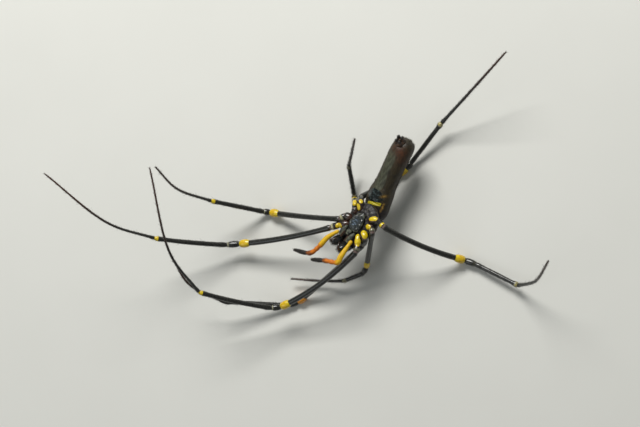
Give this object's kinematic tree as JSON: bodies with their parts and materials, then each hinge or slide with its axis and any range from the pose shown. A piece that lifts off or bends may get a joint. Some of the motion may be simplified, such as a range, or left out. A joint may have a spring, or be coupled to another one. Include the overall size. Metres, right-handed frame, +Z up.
{
  "type": "golden silk orb weaver spider",
  "caption": "Life-size golden silk orb weaver, belly up with long banded legs spread and raised, resting on its bent knees.",
  "frame": {"origin": "on the floor under the middle of the whole animal's box", "axes": "+X along the longest reach of the legs, from the tip of the left first leg to the right fourth; +Y towards the abdomen's far end; +Z up, out of the belly"},
  "size_m": [0.1506, 0.0774, 0.0411],
  "materials": {
    "carapace": "satin, short grey down",
    "sternum": "gloss cuticle",
    "mouthparts": "satin cuticle",
    "chelicerae": "gloss cuticle",
    "palps": "satin cuticle, black tips",
    "eyes": "gloss lens",
    "abdomen": "satin cuticle with pale bands",
    "spinnerets": "satin cuticle",
    "coxae": "satin cuticle with yellow patches",
    "legs": "satin cuticle with yellow joints and short hairs"
  },
  "bodies": {
    "root": {"carapace": "carapace", "sternum": "sternum", "labium": "mouthparts", "endite_left": "mouthparts", "chelicera_left": "chelicerae", "fang_left": "chelicerae", "palp_left": "palps", "eye_left_front_inner": "eyes", "eye_left_front_outer": "eyes", "eye_left_rear_inner": "eyes", "eye_left_rear_outer": "eyes", "endite_right": "mouthparts", "chelicera_right": "chelicerae", "fang_right": "chelicerae", "palp_right": "palps", "eye_right_front_inner": "eyes", "eye_right_front_outer": "eyes", "eye_right_rear_inner": "eyes", "eye_right_rear_outer": "eyes", "abdomen": "abdomen", "pedicel": "coxae", "spinnerets": "spinnerets", "leg_left_1_coxa": "coxae", "leg_left_1_femur": "legs", "leg_left_1_tibia": "legs", "leg_left_1_metatarsus": "legs", "leg_left_2_coxa": "coxae", "leg_left_2_femur": "legs", "leg_left_2_tibia": "legs", "leg_left_2_metatarsus": "legs", "leg_left_3_coxa": "coxae", "leg_left_3_femur": "legs", "leg_left_3_tibia": "legs", "leg_left_3_metatarsus": "legs", "leg_left_4_coxa": "coxae", "leg_left_4_femur": "legs", "leg_left_4_tibia": "legs", "leg_left_4_metatarsus": "legs", "leg_right_1_coxa": "coxae", "leg_right_1_femur": "legs", "leg_right_1_tibia": "legs", "leg_right_1_metatarsus": "legs", "leg_right_2_coxa": "coxae", "leg_right_2_femur": "legs", "leg_right_2_tibia": "legs", "leg_right_2_metatarsus": "legs", "leg_right_3_coxa": "coxae", "leg_right_3_femur": "legs", "leg_right_3_tibia": "legs", "leg_right_3_metatarsus": "legs", "leg_right_4_coxa": "coxae", "leg_right_4_femur": "legs", "leg_right_4_tibia": "legs", "leg_right_4_metatarsus": "legs"}
  },
  "joints": []
}
